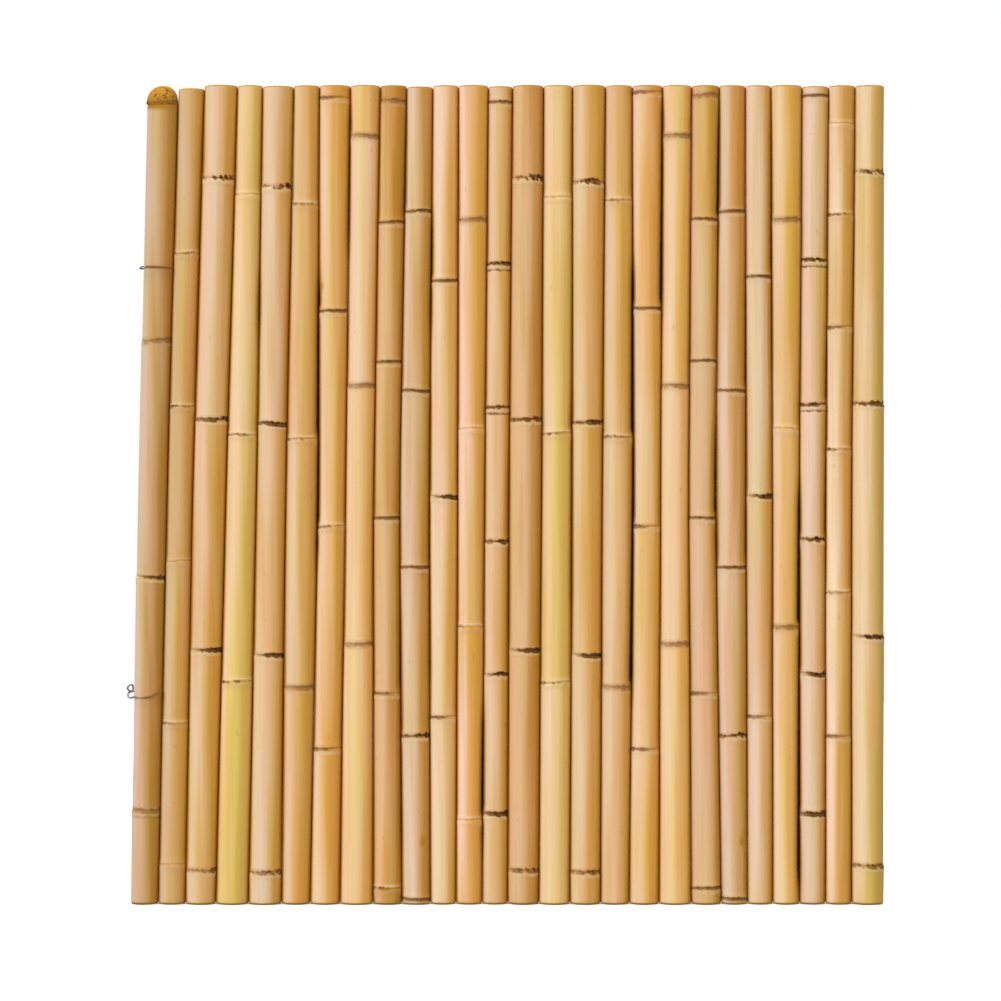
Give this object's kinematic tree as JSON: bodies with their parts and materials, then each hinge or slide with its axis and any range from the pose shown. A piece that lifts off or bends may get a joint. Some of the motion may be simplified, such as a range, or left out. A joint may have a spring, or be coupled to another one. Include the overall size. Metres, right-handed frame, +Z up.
{
  "type": "bamboo fence panel",
  "caption": "Upright bamboo poles of uneven thickness set side by side and strung on galvanised wires, making a closed fence panel or screen.",
  "frame": {"origin": "on the ground under the middle of the panel, half-way through its thickness", "axes": "+X along the row of poles to the right seen from the front, -Y out of the front, +Z up"},
  "size_m": [0.845, 0.0383, 0.914],
  "materials": {
    "bamboo": "natural dried culm, satin, with a fine lengthwise grain",
    "galvanised_wire": "drawn and galvanised, dull"
  },
  "bodies": {
    "root": {"bamboo_pole_01": "bamboo", "bamboo_pole_02": "bamboo", "bamboo_pole_03": "bamboo", "bamboo_pole_04": "bamboo", "bamboo_pole_05": "bamboo", "bamboo_pole_06": "bamboo", "bamboo_pole_07": "bamboo", "bamboo_pole_08": "bamboo", "bamboo_pole_09": "bamboo", "bamboo_pole_10": "bamboo", "bamboo_pole_11": "bamboo", "bamboo_pole_12": "bamboo", "bamboo_pole_13": "bamboo", "bamboo_pole_14": "bamboo", "bamboo_pole_15": "bamboo", "bamboo_pole_16": "bamboo", "bamboo_pole_17": "bamboo", "bamboo_pole_18": "bamboo", "bamboo_pole_19": "bamboo", "bamboo_pole_20": "bamboo", "bamboo_pole_21": "bamboo", "bamboo_pole_22": "bamboo", "bamboo_pole_23": "bamboo", "bamboo_pole_24": "bamboo", "bamboo_pole_25": "bamboo", "bamboo_pole_26": "bamboo", "upper_wire": "galvanised_wire", "lower_wire": "galvanised_wire"}
  },
  "joints": []
}
